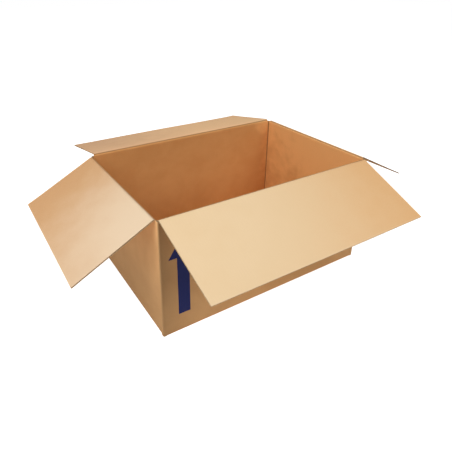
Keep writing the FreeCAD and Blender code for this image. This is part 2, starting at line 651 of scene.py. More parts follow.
@dataclass
class CartonBody:
    """The folded sheet without its top flaps: walls, upright folds, glue tab, closed bottom."""

    carton: Carton
    sheet: Sheet = field(default_factory=Sheet)
    bow: float = 1.6 * MM
    bow_even: float = 0.35
    bow_uneven: float = 0.65
    bow_seed: float = 0.1
    rim_slope: float = 0.04
    step: float = 12.0 * MM
    fold_segments: int = 8
    overrun_columns: int = 3
    tab_columns: int = 8
    tab_rows: int = 24
    rub_reach: float = 4.0 * MM
    fold_rub: float = 0.7
    crease_shade: float = 1.1 * MM
    rim_shade: float = 1.5 * MM

    @property
    def low_rows(self) -> np.ndarray:
        """Levels of the folds' feet, below the straight part of the walls."""
        return np.array([self.carton.slot_bottom, self.carton.base_start])

    @property
    def wall_rows(self) -> np.ndarray:
        """Levels of the straight part of the walls."""
        return graded(self.carton.base_start, self.carton.rim_start, self.step)

    @property
    def high_rows(self) -> np.ndarray:
        """Levels of the folds' tops, above the straight part of the walls."""
        return np.array([self.carton.rim_start, self.carton.slot_top])

    @property
    def all_rows(self) -> np.ndarray:
        """Levels of an upright fold from its foot to its top."""
        return np.unique(np.concatenate([self.low_rows, self.wall_rows, self.high_rows]))

    def span(self, side: Side) -> tuple[float, float]:
        """Where a wall's flat face starts and ends along it.

        Args:
            side: which wall.

        Returns:
            The two ends.
        """
        carton, radius = self.carton, self.carton.board.fold_radius
        long_reach = carton.half_length - radius
        short_reach = carton.half_width - radius
        spans = {
            Side.FRONT: (carton.joint_inset - carton.half_length, long_reach),
            Side.BACK: (-long_reach, long_reach),
            Side.LEFT: (-short_reach, short_reach),
            Side.RIGHT: (-short_reach, short_reach - carton.board.thickness),
        }
        return spans[side]

    def columns(self, side: Side) -> np.ndarray:
        """Positions along a wall, with its slots' edges among them.

        Args:
            side: which wall.

        Returns:
            The rising positions.
        """
        panel = self.carton.panel(side)
        start, end = self.span(side)
        middle = graded(-panel.reach, panel.reach, self.step)
        slots = np.clip([panel.start, panel.end], start, end)
        return merged([start], middle, slots, [end])

    def warp(self, side: Side, x: np.ndarray, z: np.ndarray) -> np.ndarray:
        """How far a wall stands out: a low bulge with a slow ripple, nothing at its edges.

        Under the rim it rises no faster than a slope, so that an open flap clears it.

        Args:
            side: which wall.
            x: positions along the wall.
            z: levels.

        Returns:
            The distance outwards.
        """
        low, high = self.carton.base_start, self.carton.rim_start
        wave = self.bow_even + self.bow_uneven * ripple(x, z, side.value * self.bow_seed)
        bulge = self.bow * np.sqrt(arch(x, *self.span(side)) * arch(z, low, high)) * wave
        return np.minimum(bulge, self.rim_slope * np.maximum(high - z, 0.0))

    def blank_start(self, side: Side) -> float:
        """Where a wall's middle lies along the flat blank, so that the flutes run on.

        Args:
            side: which wall.

        Returns:
            Its place along the blank.
        """
        order = [Side.FRONT, Side.LEFT, Side.BACK, Side.RIGHT]
        return order.index(side) * (self.carton.half_length + self.carton.half_width)

    def add_block(
        self,
        side: Side,
        x: np.ndarray,
        outer_yz: Sequence[np.ndarray],
        inner_yz: Sequence[np.ndarray],
        travel: np.ndarray,
        wear: np.ndarray,
        crease: np.ndarray,
    ) -> None:
        """Adds a block of one wall, given as grids in the wall's own frame.

        Args:
            side: which wall.
            x: positions along the wall.
            outer_yz: the outer face's distance outwards and level.
            inner_yz: the inner face's distance outwards and level.
            travel: distance along the blank's height.
            wear: how rubbed it is, from 0 to 1.
            crease: how much painted shade lies on it along a crease, from 0 to 1.
        """
        panel = self.carton.panel(side)
        outer = panel.place(np.stack([x, *outer_yz], axis=-1))
        inner = panel.place(np.stack([x, *inner_yz], axis=-1))
        flat = np.stack([self.blank_start(side) - x, travel], axis=-1)
        self.sheet.add(outer[::-1], inner[::-1], flat[::-1], wear[::-1], crease[::-1])

    def add_wall(self, side: Side) -> None:
        """The flat of a wall, with the strips beside its slots.

        Args:
            side: which wall.
        """
        thickness = self.carton.board.thickness
        columns = self.columns(side)
        panel = self.carton.panel(side)
        parts = [
            (columns, self.wall_rows),
            (columns[columns <= -panel.reach + HAIR], self.low_rows),
            (columns[columns >= panel.reach - HAIR], self.low_rows),
            (columns[columns <= panel.start + HAIR], self.high_rows),
            (columns[columns >= panel.end - HAIR], self.high_rows),
        ]
        for across, up in parts:
            if len(across) < 2:
                continue
            x, z = grid(across, up)
            stand = self.warp(side, x, z)
            edge = np.minimum(x - columns[0], columns[-1] - x)
            wear = self.fold_rub * np.exp(-edge / self.rub_reach)
            # Painted shade on the inner face, darkest at the wall's ends beside the upright folds
            crease = np.exp(-edge / self.crease_shade)
            self.add_block(side, x, (stand, z), (stand - thickness, z), z, wear, crease)

    def add_rim(self, side: Side) -> None:
        """The top of a wall, crushed towards the fold line.

        Where the flap runs on over the round of the upright fold, so does the rim, above the
        fold's top.

        Args:
            side: which wall.
        """
        carton, board = self.carton, self.carton.board
        panel = carton.panel(side)
        columns = self.columns(side)
        across = columns[(columns >= panel.start - HAIR) & (columns <= panel.end + HAIR)]
        nose = panel.fold_level - board.crease_slope
        rows = merged([carton.rim_start, carton.slot_top], [panel.fold_level], nose)
        parts = [(across, rows)]
        if panel.end > across[-1] + HAIR:
            overrun = np.linspace(across[-1], panel.end, self.overrun_columns)
            parts.append((overrun, rows[rows >= carton.slot_top - HAIR]))
        for across_part, rows_part in parts:
            x, z = grid(across_part, rows_part)
            thick = board.pinch(panel.fold_level - z)
            # Painted shade on the rim's inner face, darkest at the fold line
            crease = np.exp(-(panel.fold_level - z) / self.rim_shade)
            zero = np.zeros_like(x)
            self.add_block(side, x, (zero, z), (-thick, z), z, zero, crease)

    def add_bottom(self, side: Side) -> None:
        """A closed bottom flap: straight down, round the fold and in under the box.

        Args:
            side: which wall it hangs from.
        """
        carton, board = self.carton, self.carton.board
        panel = carton.panel(side)
        columns = self.columns(side)
        across = columns[(columns >= -panel.reach - HAIR) & (columns <= panel.reach + HAIR)]
        radius, inner_radius = board.fold_radius, board.inner_fold_radius
        base, inside = carton.base_start, panel.underside + board.thickness
        level = panel.underside + radius
        turn = np.linspace(0.0, math.pi / 2.0, self.fold_segments + 1)
        run = graded(radius, carton.bottom_flap_depth, 2.0 * self.step)[1:]
        under = np.full_like(run, panel.underside)
        above = np.full_like(run, inside)
        lead = np.zeros(1 if base > level + HAIR else 0)
        outer_y = np.concatenate([lead, radius * (np.cos(turn) - 1.0), -run])
        outer_z = np.concatenate([lead + base, level - radius * np.sin(turn), under])
        inner_y = np.concatenate(
            [lead - board.thickness, inner_radius * np.cos(turn) - radius, -run]
        )
        inner_z = np.concatenate([lead + base, level - inner_radius * np.sin(turn), above])
        steps = np.hypot(np.diff(outer_y), np.diff(outer_z))
        travel = base - np.concatenate([[0.0], np.cumsum(steps)])
        x, travel_grid = grid(across, travel[::-1])
        profile = (outer_y, outer_z, inner_y, inner_z)
        spread = [np.broadcast_to(line[::-1], x.shape) for line in profile]
        bend = base - radius * math.pi / 4.0
        wear = self.fold_rub * np.exp(-np.abs(travel_grid - bend) / self.rub_reach)
        crease = np.zeros_like(x)
        self.add_block(side, x, spread[:2], spread[2:], travel_grid, wear, crease)

    def add_fold(self, side: Side, corner: tuple[float, float]) -> None:
        """A quarter turn of the sheet at the end of a wall, round to the next wall.

        Args:
            side: the wall whose positive end it starts from.
            corner: the fold's centre, x along the wall and y outwards from its face.
        """
        board = self.carton.board
        turn, z = grid(np.linspace(0.0, math.pi / 2.0, self.fold_segments + 1), self.all_rows)
        panel = self.carton.panel(side)
        outer, inner = [
            panel.place(
                np.stack(
                    [corner[0] + radius * np.sin(turn), corner[1] + radius * np.cos(turn), z],
                    axis=-1,
                )
            )
            for radius in (board.fold_radius, board.inner_fold_radius)
        ]
        along = self.blank_start(side) - corner[0] - board.fold_radius * turn
        flat = np.stack([along, z], axis=-1)
        rubbed = np.full_like(z, self.fold_rub)
        # The whole inner face of the upright fold takes full painted shade
        self.sheet.add(outer[::-1], inner[::-1], flat[::-1], rubbed, np.ones_like(z))

    def add_tab(self) -> None:
        """The glue tab, flat against the inside of the front wall."""
        carton, board = self.carton, self.carton.board
        panel = carton.panel(Side.FRONT)
        root = -(carton.half_length - board.fold_radius)
        self.add_tab_block(panel, *grid(np.array([root, -panel.reach]), self.all_rows))
        low = 2.0 * board.thickness + carton.tab_clearance
        high = carton.rim_start - carton.tab_clearance
        reach = np.linspace(-panel.reach - root, carton.tab_width, self.tab_columns)
        share = np.linspace(0.0, 1.0, self.tab_rows)
        taper = np.tan(carton.tab_taper) * reach
        x, part = grid(root + reach, share)
        z = (low + taper)[:, None] + part * (high - low - 2.0 * taper)[:, None]
        self.add_tab_block(panel, x, z)

    def add_tab_block(self, panel: Panel, x: np.ndarray, z: np.ndarray) -> None:
        """A block of the tab, from positions in the front wall's own frame.

        Args:
            panel: the front wall.
            x: positions along the wall.
            z: levels.
        """
        thickness = self.carton.board.thickness
        near, far = np.full_like(x, -thickness), np.full_like(x, -2.0 * thickness)
        outer = panel.place(np.stack([x, near, z], axis=-1))
        inner = panel.place(np.stack([x, far, z], axis=-1))
        flat = np.stack([-x, z], axis=-1)
        zero = np.zeros_like(x)
        self.sheet.add(outer[::-1], inner[::-1], flat[::-1], zero, zero)

    def make(self, materials: list[bpy.types.Material]) -> bpy.types.Object:
        """Builds the body and lets it ride on the box.

        Args:
            materials: one for each Layer.

        Returns:
            The body.
        """
        # The left and front walls take painted light and shade on their outer paper
        self.sheet.tone = WallTone(self.carton).at
        for side in Side:
            self.add_wall(side)
            self.add_rim(side)
            self.add_bottom(side)
        radius = self.carton.board.fold_radius
        long_corner = (self.carton.half_length - radius, -radius)
        short_corner = (self.carton.half_width - radius, -radius)
        joint_corner = (short_corner[0] - self.carton.board.thickness, -radius)
        self.add_fold(Side.BACK, long_corner)
        self.add_fold(Side.RIGHT, joint_corner)
        self.add_fold(Side.FRONT, long_corner)
        self.add_fold(Side.LEFT, short_corner)
        self.add_tab()
        piece = self.sheet.build("carton_body", materials)
        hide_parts("box_body")
        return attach(piece, "box")


@dataclass
class TopFlap:
    """One open flap, shown as the board's three layers.

    Its side edges may run askew: the free corner at its start stands out by the flare, and the
    one at its end stands in by the taper.
    """

    carton: Carton
    side: Side
    taper: float = 0.0
    flare: float = 0.0
    crease_shade: float = 1.9 * MM
    sag: float = 1.2 * MM
    sag_power: float = 1.5
    lean: float = 0.65
    unevenness: float = 0.5
    seed: float = 1.7
    seed_step: float = 0.05
    curl: float = 0.6 * MM
    curl_reach: float = 45.0 * MM
    curl_power: float = 1.6
    taper_reach: float = 70.0 * MM
    step: float = 14.0 * MM
    samples_per_flute: int = 8
    rub_reach: float = 4.0 * MM

    @property
    def reach(self) -> tuple[float, float]:
        """Where the flap starts and ends along its wall."""
        panel = self.carton.panel(self.side)
        return panel.start + self.carton.slot_play, panel.end - self.carton.slot_play

    @property
    def flutes(self) -> int:
        """How many whole flutes lie side by side in the flap."""
        start, end = self.reach
        return round((end - start) / self.carton.board.flute_pitch)

    @property
    def rows(self) -> np.ndarray:
        """Distances from the fold to the free edge, close together at the crease."""
        crease = self.carton.board.crease_slope
        return merged(crease, graded(crease[-1], self.carton.flap_depth, self.step))

    def warp(self, x: np.ndarray, v: np.ndarray) -> np.ndarray:
        """How far the flap stands off its flat: a slow ripple and a curled corner.

        The ripple grows with a power of the distance from the fold. It leans out on the long
        flaps and in on the short ones, which close under them. The corner at the flap's end
        curls in, with a power of its nearness.

        Args:
            x: positions along the fold.
            v: distances from the fold.

        Returns:
            The distance towards the inner face.
        """
        end = self.reach[1]
        depth = self.carton.flap_depth
        share = np.clip(v / depth, 0.0, 1.0)
        lean = -self.lean if self.side.is_long else self.lean
        seed = self.seed + self.side.value * self.seed_step
        wave = self.sag * share**self.sag_power * (lean + self.unevenness * ripple(x, v, seed))
        corner = nearness((end - x) + (depth - v), self.curl_reach)
        return wave + self.curl * corner**self.curl_power

    def place(self, x: np.ndarray, v: np.ndarray, w: np.ndarray) -> np.ndarray:
        """Points of the open flap, turned down about its fold.

        The flare and the taper move a point along the fold by its share of the flap's depth
        and its nearness to that end.

        Args:
            x: positions along the fold.
            v: distances from the fold.
            w: heights above the outer face, towards the inner face.

        Returns:
            The points in the carton's frame.
        """
        panel = self.carton.panel(self.side)
        start, end = self.reach
        flared = self.flare * nearness(x - start, self.taper_reach)
        tapered = self.taper * nearness(end - x, self.taper_reach)
        along = x - (flared + tapered) * v / self.carton.flap_depth
        height = w + self.warp(x, v)
        cosine, sine = math.cos(panel.droop), math.sin(panel.droop)
        y = v * cosine + height * sine
        z = panel.fold_level - v * sine + height * cosine
        return panel.place(np.stack([along, y, z], axis=-1))

    def liner_thickness(self, v: np.ndarray) -> np.ndarray:
        """A liner's thickness: at most a third of the board's, where the crease crushes it.

        Args:
            v: distances from the fold.

        Returns:
            The thickness there.
        """
        board = self.carton.board
        return np.minimum(board.liner, board.pinch(v) / 3.0)

    def outer_liner(self, x: np.ndarray, v: np.ndarray) -> tuple[np.ndarray, np.ndarray]:
        """Heights of the outer liner's two faces.

        Args:
            x: positions along the fold.
            v: distances from the fold.

        Returns:
            The outer height and the inner height.
        """
        return np.zeros_like(x), self.liner_thickness(v)

    def inner_liner(self, x: np.ndarray, v: np.ndarray) -> tuple[np.ndarray, np.ndarray]:
        """Heights of the inner liner's two faces.

        Args:
            x: positions along the fold.
            v: distances from the fold.

        Returns:
            The outer height and the inner height.
        """
        thick = self.carton.board.pinch(v)
        return thick - self.liner_thickness(v), thick

    def medium(self, x: np.ndarray, v: np.ndarray) -> tuple[np.ndarray, np.ndarray]:
        """Heights of the medium's two faces: its middle is a sine between the two liners.

        Args:
            x: positions along the fold.
            v: distances from the fold.

        Returns:
            The outer height and the inner height.
        """
        board = self.carton.board
        start, end = self.reach
        thick = board.pinch(v)
        room = np.maximum(thick - 2.0 * board.liner - board.medium, 0.0)
        swing = np.sin((x - start) * 2.0 * math.pi * self.flutes / (end - start))
        middle = thick / 2.0 + room / 2.0 * swing
        half = np.minimum(board.medium, thick / 4.0) / 2.0
        return middle - half, middle + half

    def layer(self, columns: np.ndarray, faces: Callable) -> Sheet:
        """One layer of the board between its two faces.

        Args:
            columns: positions along the fold.
            faces: gives both faces' heights from positions along and away from the fold.

        Returns:
            The layer's sheet.
        """
        x, v = grid(columns, self.rows)
        start, end = self.reach
        edge = np.minimum(np.minimum(x - start, end - x), self.carton.flap_depth - v)
        # Painted shade on the inner face, darkest at the fold
        wear, crease = np.exp(-edge / self.rub_reach), np.exp(-v / self.crease_shade)
        outer, inner = [self.place(x, v, height) for height in faces(x, v)]
        sheet = Sheet()
        sheet.add(outer, inner, np.stack([-x, v], axis=-1), wear, crease)
        return sheet

    def make(self, liners: list[bpy.types.Material], core: bpy.types.Material) -> None:
        """Builds the flap's two liners and its wavy medium.

        Args:
            liners: one for each Layer.
            core: the medium's material.
        """
        start, end = self.reach
        across = graded(start, end, self.step)
        fine = np.linspace(start, end, self.flutes * self.samples_per_flute + 1)
        layers = [
            ("outer_liner", across, self.outer_liner, liners),
            ("inner_liner", across, self.inner_liner, liners),
            ("fluting", fine, self.medium, [core] * len(Layer)),
        ]
        label = self.side.label
        for name, columns, faces, materials in layers:
            piece = self.layer(columns, faces).build(f"{label}_flap_{name}", materials)
            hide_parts(f"flap_{label}")
            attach(piece, f"{label}_flap")


@dataclass
class FoldBead:
    """The crushed liner rolled along a flap's fold line, round, so it looks the same at any turn,
    darkened with painted crease shade.
    """

    carton: Carton
    side: Side
    radius: float = 0.65 * MM
    unevenness: float = 0.12
    ripple_along: float = 6.0
    ripple_round: float = 0.05
    seed: float = 1.0
    tip_share: float = 0.02
    segments: int = 12
    step: float = 6.0 * MM
    end_step: float = 0.4 * MM
    shade: float = 0.8

    def make(self, materials: list[bpy.types.Material]) -> None:
        """Builds the bead as a thin uneven rod on the fold line.

        Its radius is the mean radius plus a small ripple along the fold, and it closes to a
        fiftieth of that at both ends.

        Args:
            materials: the bead's material.
        """
        panel = self.carton.panel(self.side)
        play = self.carton.slot_play
        along = graded(panel.start + play, panel.end - play, self.step, self.end_step)
        along = np.concatenate([along[:1], along, along[-1:]])
        x, turn = grid(along, np.linspace(0.0, 2.0 * math.pi, self.segments + 1))
        wave = ripple(x * self.ripple_along, turn * self.ripple_round, self.side.value + self.seed)
        radius = self.radius * (1.0 + self.unevenness * wave)
        radius[[0, -1]] = self.tip_share * self.radius
        y = radius * np.cos(turn)
        z = panel.fold_level + radius * np.sin(turn)
        points = panel.place(np.stack([x, y, z], axis=-1))[:, :-1].reshape(-1, 3)
        ring = np.arange(len(points)).reshape(len(along), self.segments)
        faces = cell_corners(np.concatenate([ring, ring[:, :1]], axis=1))
        flat = cell_corners(np.stack([x, turn * self.radius], axis=-1))
        mesh = new_mesh(f"{self.side.label}_fold", points, faces[:, ::-1])
        set_flat(mesh, flat[:, ::-1])
        set_values(mesh, "wear", np.zeros(len(points)))
        # The whole bead takes painted crease shade
        set_values(mesh, "crease", np.full(len(points), self.shade))
        piece = new_object(f"{self.side.label}_fold", mesh, materials)
        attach(piece, "box")


@dataclass
class Arrow:
    """The plain upright arrow printed on the front wall, as a film that follows the wall."""

    carton: Carton
    body: CartonBody
    middle_from_edge: float = 54.1 * MM
    foot: float = 49.0 * MM
    shaft_width: float = 29.3 * MM
    shaft_length: float = 149.6 * MM
    head_width: float = 69.0 * MM
    head_length: float = 53.0 * MM
    point_share: float = 0.002
    film: float = 0.1 * MM
    sunk: float = 0.025 * MM
    step: float = 4.0 * MM

    @property
    def neck(self) -> float:
        """Level at which the shaft ends and the head starts."""
        return self.foot + self.shaft_length

    def steps(self, start: float, end: float) -> np.ndarray:
        """Even positions from start to end, about a step apart.

        Args:
            start: first position.
            end: last position.

        Returns:
            The rising positions.
        """
        return np.linspace(start, end, 1 + round((end - start) / self.step))

    def half_width(self, z: np.ndarray) -> np.ndarray:
        """Half the head's width at a level above the neck.

        Args:
            z: levels.

        Returns:
            Half the width there, down to a hair at the point.
        """
        share = np.clip(1.0 - (z - self.neck) / self.head_length, self.point_share, 1.0)
        return self.head_width / 2.0 * share

    def make(self, ink: bpy.types.Material) -> None:
        """Builds the shaft and the head as blocks of one film.

        Args:
            ink: the ink's material.
        """
        shaft, barb = self.shaft_width / 2.0, self.head_width / 2.0
        inner, outer = self.steps(-shaft, shaft), self.steps(shaft, barb)
        sheet = Sheet()
        self.add(sheet, *grid(inner, self.steps(self.foot, self.neck)))
        whole = merged(-outer, inner, outer)
        share, z = grid(whole / barb, self.steps(self.neck, self.neck + self.head_length))
        self.add(sheet, share * self.half_width(z), z)
        piece = sheet.build("arrow_print", [ink] * len(Layer))
        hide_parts("printed_arrow")
        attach(piece, "box")

    def add(self, sheet: Sheet, across: np.ndarray, z: np.ndarray) -> None:
        """Adds a block of the film.

        Args:
            sheet: the film's sheet.
            across: positions from the arrow's middle, to the right as the wall is looked at.
            z: levels.
        """
        panel = self.carton.panel(Side.FRONT)
        x = self.carton.half_length - self.middle_from_edge - across
        stand = self.body.warp(Side.FRONT, x, z)
        outer = panel.place(np.stack([x, stand + self.film, z], axis=-1))
        inner = panel.place(np.stack([x, stand - self.sunk, z], axis=-1))
        flat = np.stack([self.body.blank_start(Side.FRONT) - x, z], axis=-1)
        zero = np.zeros_like(x)
        sheet.add(outer, inner, flat, zero, zero)


# The colour sockets of Blender's Mix node, whose names its other kinds share
MIX_SHARE, MIX_FIRST, MIX_SECOND, MIX_RESULT = 0, 6, 7, 2

# How rough every noise texture is from octave to octave
NOISE_ROUGHNESS = 0.55

Colour = tuple[float, float, float]


class NodeGraph:
    """Short ways to add and join shader nodes."""

    def __init__(self, tree: bpy.types.NodeTree) -> None:
        """Empties a node tree.

        Args:
            tree: the tree to build in.
        """
        tree.nodes.clear()
        self.tree = tree

    def add(self, kind: str, inputs: dict | None = None, **settings: object) -> bpy.types.Node:
        """Adds a node.

        Args:
            kind: the node's type name.
            inputs: values or sockets for its inputs, by name or number.
            settings: the node's own settings.

        Returns:
            The node.
        """
        node = self.tree.nodes.new(kind)
        for name, value in settings.items():
            setattr(node, name, value)
        for name, value in (inputs or {}).items():
            if isinstance(value, bpy.types.NodeSocket):
                self.tree.links.new(value, node.inputs[name])
            else:
                node.inputs[name].default_value = value
        return node

    def math(self, operation: str, *values: object) -> bpy.types.NodeSocket:
        """Adds a Math node.

        Args:
            operation: what it does.
            values: its numbers or sockets.

        Returns:
            Its result.
        """
        return self.add("ShaderNodeMath", dict(enumerate(values)), operation=operation).outputs[0]

    def mix(
        self, share: object, first: object, second: object, blend: str = "MIX"
    ) -> bpy.types.NodeSocket:
        """Mixes two colours.

        Args:
            share: how much of the second, from 0 to 1.
            first: colour or socket.
            second: colour or socket.
            blend: how they mix.

        Returns:
            The mixed colour.
        """
        inputs = {MIX_SHARE: share, MIX_FIRST: first, MIX_SECOND: second}
        node = self.add("ShaderNodeMix", inputs, data_type="RGBA", blend_type=blend)
        return node.outputs[MIX_RESULT]

    def band(self, value: object, low: float, high: float) -> bpy.types.NodeSocket:
        """Maps a value from low..high to 0..1, smoothly and clamped.

        Args:
            value: the socket to map.
            low: what becomes 0.
            high: what becomes 1.

        Returns:
            The mapped value.
        """
        inputs = {0: value, 1: low, 2: high, 3: 0.0, 4: 1.0}
        node = self.add("ShaderNodeMapRange", inputs, interpolation_type="SMOOTHSTEP")
        return node.outputs[0]

    def off_middle(self, value: bpy.types.NodeSocket, middle: object) -> bpy.types.NodeSocket:
        """How far a value is from a middle, either way.

        Args:
            value: the value.
            middle: a number or a socket.

        Returns:
            The distance between them.
        """
        return self.math("ABSOLUTE", self.math("SUBTRACT", value, middle))

    def blank(self) -> bpy.types.NodeSocket:
        """Place on the flat blank in metres, from the piece's UV map."""
        return self.add("ShaderNodeUVMap", uv_map="board").outputs[0]

    def blank_mm(self) -> bpy.types.NodeSocket:
        """Place on the flat blank in millimetres."""
        inputs = {0: self.blank(), 1: (1.0 / MM,) * 3}
        return self.add("ShaderNodeVectorMath", inputs, operation="MULTIPLY").outputs[0]

    def flutes(self, place: bpy.types.NodeSocket) -> bpy.types.NodeSocket:
        """A cosine across the flutes, from 0 to 1.

        Args:
            place: place on the blank in millimetres.

        Returns:
            Its height.
        """
        across = self.add("ShaderNodeSeparateXYZ", {0: place}).outputs[0]
        phase = self.math("MULTIPLY", across, 2.0 * math.pi * MM / Board.flute_pitch)
        return self.math("MULTIPLY_ADD", self.math("COSINE", phase), 0.5, 0.5)

    def value(self, name: str) -> bpy.types.NodeSocket:
        """One of the values that the mesh gives its vertices.

        Args:
            name: the value's name.

        Returns:
            The value.
        """
        return self.add("ShaderNodeAttribute", attribute_name=name).outputs["Fac"]

    def seen(self) -> bpy.types.NodeSocket:
        """1 for rays that show the surroundings in the picture, in gloss or through glass."""
        rays = self.add("ShaderNodeLightPath").outputs
        seen = self.math("MAXIMUM", rays["Is Camera Ray"], rays["Is Glossy Ray"])
        return self.math("MAXIMUM", seen, rays["Is Transmission Ray"])


def rgba(colour: Colour) -> tuple[float, float, float, float]:
    """A colour with full cover."""
    return (*colour, 1.0)


def grey(value: float) -> tuple[float, float, float, float]:
    """A grey of one value from 0 to 1."""
    return rgba((value, value, value))


def shaded(colour: Colour, factor: float) -> Colour:
    """A colour made darker or lighter by a factor, no lighter than white."""
    red, green, blue = (min(1.0, part * factor) for part in colour)
    return red, green, blue


def new_material(name: str) -> tuple[bpy.types.Material, NodeGraph]:
    """A material with an empty graph.

    Args:
        name: the material's name.

    Returns:
        The material and its graph.
    """
    material = bpy.data.materials.new(name)
    material.use_nodes = True
    return material, NodeGraph(material.node_tree)


@dataclass(frozen=True)
class Noise:
    """A noise over the blank. Turned and stretched, it looks like fibres."""

    scale: float
    octaves: float
    stretch: tuple[float, float, float] | None = None
    turn: float = 0.0

    def read(self, graph: NodeGraph, place: bpy.types.NodeSocket) -> bpy.types.NodeSocket:
        """Adds the noise.

        Args:
            graph: the material's graph.
            place: where it is read.

        Returns:
            Its value, from 0 to 1.
        """
        if self.stretch:
            turned = {"Vector": place, "Rotation": (0.0, 0.0, self.turn), "Scale": self.stretch}
            place = graph.add("ShaderNodeMapping", turned).outputs[0]
        inputs = {
            "Vector": place,
            "Scale": self.scale,
            "Detail": self.octaves,
            "Roughness": NOISE_ROUGHNESS,
        }
        return graph.add("ShaderNodeTexNoise", inputs).outputs[0]


@dataclass(frozen=True)
class Mark:
    """What a value leaves on a surface: nothing up to low, and its whole strength from high on."""

    low: float
    high: float
    strength: float

    def cover(self, graph: NodeGraph, value: bpy.types.NodeSocket) -> bpy.types.NodeSocket:
        """How far the mark covers what is under it.

        Args:
            graph: the material's graph.
            value: what leaves the mark.

        Returns:
            The cover, from 0 to the strength.
        """
        return graph.math("MULTIPLY", graph.band(value, self.low, self.high), self.strength)

    def lay(
        self,
        graph: NodeGraph,
        value: bpy.types.NodeSocket,
        under: bpy.types.NodeSocket,
        colour: Colour,
    ) -> bpy.types.NodeSocket:
        """Lays the mark over a surface.

        Args:
            graph: the material's graph.
            value: what leaves the mark.
            under: the surface's colour.
            colour: the mark's colour.

        Returns:
            The marked colour.
        """
        return graph.mix(self.cover(graph, value), under, rgba(colour))


@dataclass(frozen=True)
class Surface:
    """How a matt surface shines and how deep its relief is, in metres."""

    depth: float
    relief: float
    specular: float

    def make(
        self,
        graph: NodeGraph,
        colour: bpy.types.NodeSocket,
        roughness: object,
        height: bpy.types.NodeSocket,
    ) -> None:
        """Adds the shader, its bump and the material's output.

        Args:
            graph: the material's graph.
            colour: the surface's colour.
            roughness: a number or a socket.
            height: the relief's height, from 0 to 1.
        """
        lift = {"Height": height, "Distance": self.depth, "Strength": self.relief}
        inputs = {
            "Base Color": colour,
            "Roughness": roughness,
            "Normal": graph.add("ShaderNodeBump", lift).outputs[0],
            "Specular IOR Level": self.specular,
        }
        shader = graph.add("ShaderNodeBsdfPrincipled", inputs)
        graph.add("ShaderNodeOutputMaterial", {"Surface": shader.outputs[0]})


@dataclass(frozen=True)
class PaperGrain:
    """What a kraft paper's colour and relief are made from, all read on the flat blank."""

    place: bpy.types.NodeSocket
    fibres: bpy.types.NodeSocket
    hairs: bpy.types.NodeSocket
    clouds: bpy.types.NodeSocket
    patches: bpy.types.NodeSocket
    washboard: bpy.types.NodeSocket


